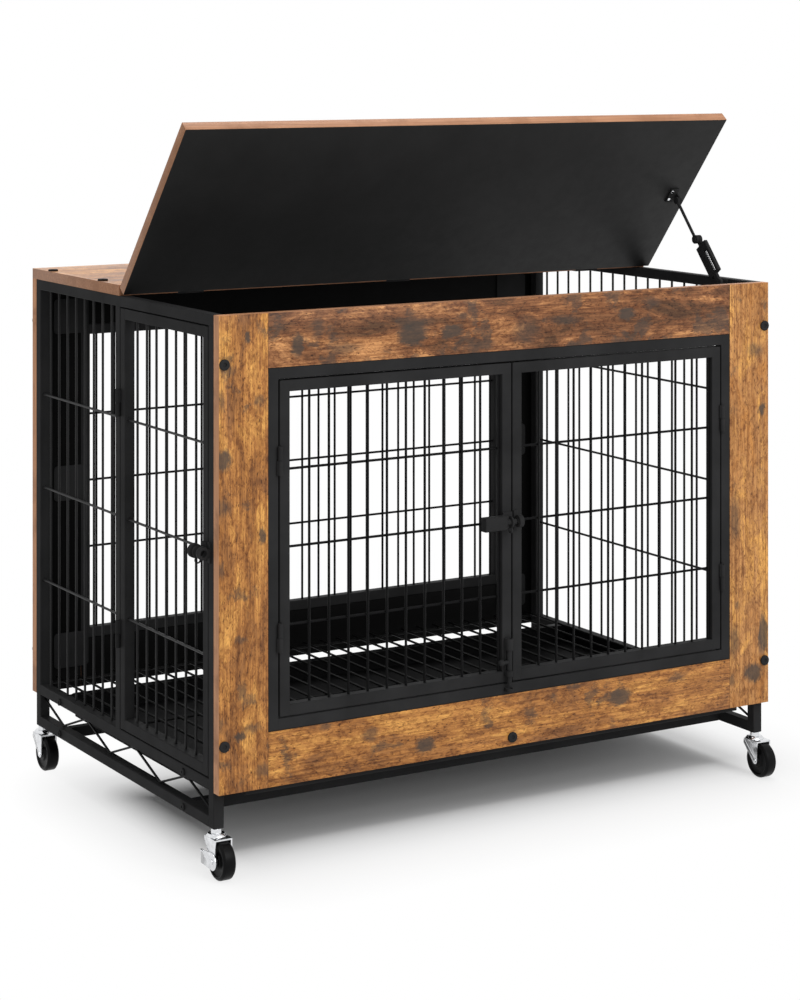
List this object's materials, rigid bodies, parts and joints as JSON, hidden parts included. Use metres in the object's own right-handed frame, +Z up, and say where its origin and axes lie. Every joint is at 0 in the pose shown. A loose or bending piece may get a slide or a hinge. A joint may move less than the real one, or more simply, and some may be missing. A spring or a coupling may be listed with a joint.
{
  "type": "furniture dog kennel",
  "caption": "Furniture-style dog kennel: wood-faced steel crate on swivel casters, with a lift-up lid, wire double doors in front, a wire side door, a wire floor and a tray.",
  "frame": {"origin": "on the floor, under the centre of the whole kennel's box", "axes": "-Y towards the front doors, +X to the right as seen from the front, +Z up"},
  "size_m": [0.9265, 0.6365, 0.9706],
  "materials": {
    "black_steel": "satin",
    "zinc_steel": "satin",
    "brown_board": "satin",
    "dark_board": "satin",
    "black_plastic": "matte",
    "wheel_rubber": "satin"
  },
  "bodies": {
    "crate": {"left_side_frame": "black_steel", "right_side_frame": "black_steel", "left_rear_grille": "black_steel", "right_grille": "black_steel", "truss_wires": "black_steel", "cross_rails": "black_steel", "front_left_stile": "brown_board", "front_right_stile": "brown_board", "front_top_board": "dark_board", "front_bottom_board": "dark_board", "back_left_stile": "brown_board", "back_right_stile": "brown_board", "back_top_board": "dark_board", "back_bottom_board": "dark_board", "front_surround": "black_steel", "back_surround": "black_steel", "back_grille": "black_steel", "top_strip": "brown_board", "panel_bolts": "black_steel", "frame_bolts": "black_steel", "tube_nuts": "zinc_steel", "joining_plates": "black_steel", "strip_hinge_leaves": "zinc_steel", "stay_foot": "black_steel", "door_hinge_pins": "black_steel", "fixed_keepers": "black_steel", "leg_inserts": "black_plastic", "caster_stems": "zinc_steel"},
    "lid": {"lid": "brown_board", "lid_hinge_leaves": "zinc_steel", "stay_head": "black_steel"},
    "stay_lower_link": {"stay_housing": "black_steel", "stay_spring": "zinc_steel"},
    "stay_upper_link": {"stay_arm": "black_steel"},
    "left_leaf": {"left_leaf_frame": "black_steel", "left_leaf_grille": "black_steel", "front_latch_body": "black_steel", "drop_latch_guide": "black_steel"},
    "right_leaf": {"right_leaf_frame": "black_steel", "right_leaf_grille": "black_steel", "front_latch_keeper": "black_steel"},
    "side_door": {"side_door_frame": "black_steel", "side_door_grille": "black_steel", "side_latch_body": "black_steel"},
    "front_latch_bolt": {"front_latch_bolt": "black_steel"},
    "drop_latch_bolt": {"drop_latch_bolt": "black_steel"},
    "side_latch_bolt": {"side_latch_bolt": "black_steel"},
    "tray": {"tray": "black_plastic"},
    "floor_grid": {"floor_grid": "black_steel"},
    "front_left_fork": {"front_left_fork": "zinc_steel"},
    "front_left_wheel": {"front_left_wheel": "wheel_rubber"},
    "front_right_fork": {"front_right_fork": "zinc_steel"},
    "front_right_wheel": {"front_right_wheel": "wheel_rubber"},
    "back_left_fork": {"back_left_fork": "zinc_steel"},
    "back_left_wheel": {"back_left_wheel": "wheel_rubber"},
    "back_right_fork": {"back_right_fork": "zinc_steel"},
    "back_right_wheel": {"back_right_wheel": "wheel_rubber"},
    "front_left_brake": {"front_left_brake": "zinc_steel"},
    "back_right_brake": {"back_right_brake": "zinc_steel"}
  },
  "joints": [
    {"name": "lid_hinge", "type": "hinge", "parent": "crate", "child": "lid", "pos_m": [0, 0, 0.737], "axis": [-1, 0, 0], "range_deg": [-50, 0]},
    {"name": "stay_foot_pivot", "type": "hinge", "parent": "crate", "child": "stay_lower_link", "pos_m": [0.4295, -0.2115, 0.718], "axis": [1, 0, 0], "range_deg": [-115.29, 0]},
    {"name": "stay_head_pivot", "type": "hinge", "parent": "lid", "child": "stay_upper_link", "pos_m": [0.4245, -0.11464, 0.83597], "axis": [1, 0, 0], "range_deg": [-33.1, 0]},
    {"name": "left_leaf_hinge", "type": "hinge", "parent": "crate", "child": "left_leaf", "pos_m": [-0.3626, -0.3031, 0.4175], "axis": [0, 0, -1], "range_deg": [0, 165]},
    {"name": "right_leaf_hinge", "type": "hinge", "parent": "crate", "child": "right_leaf", "pos_m": [0.3626, -0.3031, 0.4175], "axis": [0, 0, 1], "range_deg": [0, 165]},
    {"name": "side_door_hinge", "type": "hinge", "parent": "crate", "child": "side_door", "pos_m": [-0.4536, 0.00325, 0.4175], "axis": [0, 0, -1], "range_deg": [0, 165]},
    {"name": "front_latch_slide", "type": "slide", "parent": "left_leaf", "child": "front_latch_bolt", "axis": [1, 0, 0], "range_m": [0, 0.009]},
    {"name": "drop_latch_slide", "type": "slide", "parent": "left_leaf", "child": "drop_latch_bolt", "axis": [0, 0, -1], "range_m": [0, 0.009]},
    {"name": "side_latch_slide", "type": "slide", "parent": "side_door", "child": "side_latch_bolt", "axis": [0, -1, 0], "range_m": [0, 0.009]},
    {"name": "tray_lift", "type": "slide", "parent": "crate", "child": "tray", "axis": [0, 0, 1], "range_m": [0, 0.25]},
    {"name": "floor_grid_lift", "type": "slide", "parent": "tray", "child": "floor_grid", "axis": [0, 0, 1], "range_m": [0, 0.25]},
    {"name": "front_left_swivel", "type": "hinge", "parent": "crate", "child": "front_left_fork", "pos_m": [-0.4425, -0.277, 0.053], "axis": [0, 0, 1], "continuous": true},
    {"name": "front_left_wheel_spin", "type": "hinge", "parent": "front_left_fork", "child": "front_left_wheel", "pos_m": [-0.4425, -0.293, 0.025], "axis": [1, 0, 0], "continuous": true},
    {"name": "front_left_brake_lever", "type": "hinge", "parent": "front_left_fork", "child": "front_left_brake", "pos_m": [-0.4425, -0.293, 0.025], "axis": [-1, 0, 0], "range_deg": [0, 20]},
    {"name": "front_right_swivel", "type": "hinge", "parent": "crate", "child": "front_right_fork", "pos_m": [0.4425, -0.277, 0.053], "axis": [0, 0, 1], "continuous": true},
    {"name": "front_right_wheel_spin", "type": "hinge", "parent": "front_right_fork", "child": "front_right_wheel", "pos_m": [0.4425, -0.293, 0.025], "axis": [1, 0, 0], "continuous": true},
    {"name": "back_left_swivel", "type": "hinge", "parent": "crate", "child": "back_left_fork", "pos_m": [-0.4425, 0.293, 0.053], "axis": [0, 0, 1], "continuous": true},
    {"name": "back_left_wheel_spin", "type": "hinge", "parent": "back_left_fork", "child": "back_left_wheel", "pos_m": [-0.4425, 0.277, 0.025], "axis": [1, 0, 0], "continuous": true},
    {"name": "back_right_swivel", "type": "hinge", "parent": "crate", "child": "back_right_fork", "pos_m": [0.4425, 0.293, 0.053], "axis": [0, 0, 1], "continuous": true},
    {"name": "back_right_wheel_spin", "type": "hinge", "parent": "back_right_fork", "child": "back_right_wheel", "pos_m": [0.4425, 0.277, 0.025], "axis": [1, 0, 0], "continuous": true},
    {"name": "back_right_brake_lever", "type": "hinge", "parent": "back_right_fork", "child": "back_right_brake", "pos_m": [0.4425, 0.277, 0.025], "axis": [-1, 0, 0], "range_deg": [0, 20]}
  ],
  "couplings": [
    {"joint": "stay_foot_pivot", "follows": "lid_hinge", "ratio": 2.3058},
    {"joint": "stay_head_pivot", "follows": "lid_hinge", "ratio": 0.662}
  ]
}
